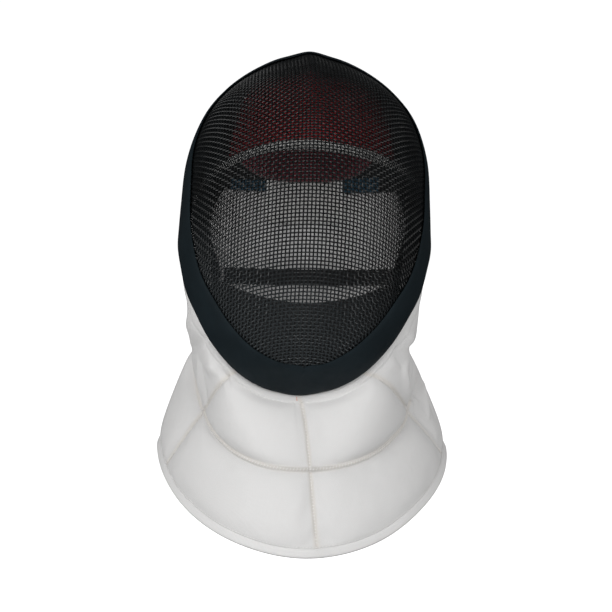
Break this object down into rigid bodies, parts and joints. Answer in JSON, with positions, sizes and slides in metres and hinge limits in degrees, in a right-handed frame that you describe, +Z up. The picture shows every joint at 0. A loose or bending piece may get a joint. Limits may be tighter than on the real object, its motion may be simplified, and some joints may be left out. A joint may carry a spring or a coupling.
{
  "type": "fencing mask",
  "caption": "Fencing mask with a woven wire bowl, taped edge, padded lining, sprung rear tongue, elastic back strap and a quilted white bib.",
  "frame": {"origin": "the head seat: the point under the crown pad where the top of the head rests", "axes": "+Z up, the face looks towards -Y, the wearer's left is towards +X"},
  "size_m": [0.2456, 0.2442, 0.4131],
  "materials": {
    "wire_mesh": "black coated wire, satin",
    "edge_trim": "smooth dark coated tape",
    "bib": "white quilted cloth",
    "crown_pad": "dark red padded cloth",
    "forehead_binding": "pale binding tape",
    "side_pad": "black padded cloth",
    "dark_lining": "black lining cloth",
    "chin_lining": "charcoal lining cloth",
    "rear_tongue": "pale grey cloth cover",
    "nape_pad": "maroon padded cloth",
    "occiput_pad": "pale grey padded cloth",
    "nape_band": "dark blue webbing",
    "back_strap": "black woven elastic",
    "strap_slider": "grey moulded ring"
  },
  "bodies": {
    "root": {"wire_mesh": "wire_mesh", "edge_trim": "edge_trim", "bib": "bib", "bib_hem": "bib", "crown_pad": "crown_pad", "forehead_binding": "forehead_binding", "side_pad_left": "side_pad", "side_pad_right": "side_pad", "cheek_lining_left": "dark_lining", "cheek_lining_right": "dark_lining", "chin_lining": "chin_lining", "rear_tongue": "rear_tongue", "nape_pad": "nape_pad", "nape_lining": "dark_lining", "occiput_pad": "occiput_pad", "nape_band": "nape_band", "back_strap": "back_strap", "strap_slider": "strap_slider"}
  },
  "joints": []
}
